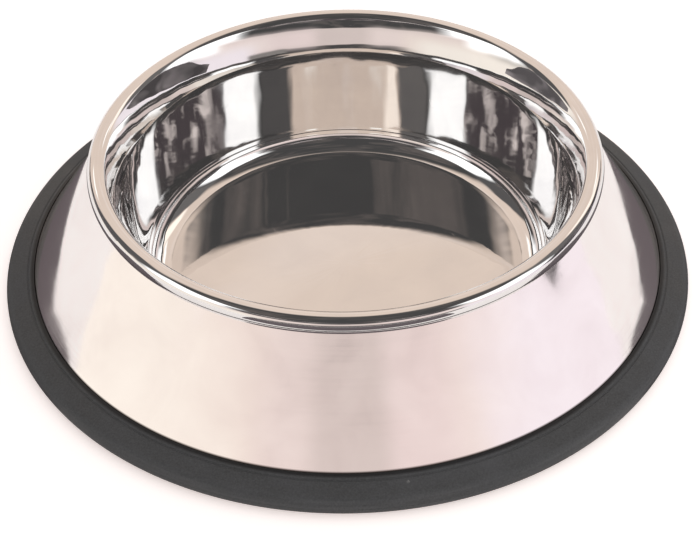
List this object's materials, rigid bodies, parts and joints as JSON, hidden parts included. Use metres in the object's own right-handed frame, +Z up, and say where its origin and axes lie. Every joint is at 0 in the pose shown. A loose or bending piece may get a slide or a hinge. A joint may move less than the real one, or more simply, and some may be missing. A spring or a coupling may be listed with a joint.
{
  "type": "non-tip pet bowl",
  "caption": "Round steel pet bowl: a deep dish with a curled rim on a wide flared skirt, standing on a non-slip rubber ring.",
  "frame": {"origin": "middle of the face that the rubber ring stands on, at the bottom of the bowl", "axes": "+Z up along the axis of revolution, out of the dish's mouth; +X to the right and +Y away from the picture's camera"},
  "size_m": [0.25, 0.25, 0.0546],
  "materials": {
    "dish_steel": "stainless steel, deep drawn and mirror polished",
    "skirt_steel": "stainless steel, spun and polished",
    "ring_rubber": "moulded rubber, satin"
  },
  "bodies": {
    "root": {"dish": "dish_steel", "skirt": "skirt_steel", "base_ring": "ring_rubber"}
  },
  "joints": []
}
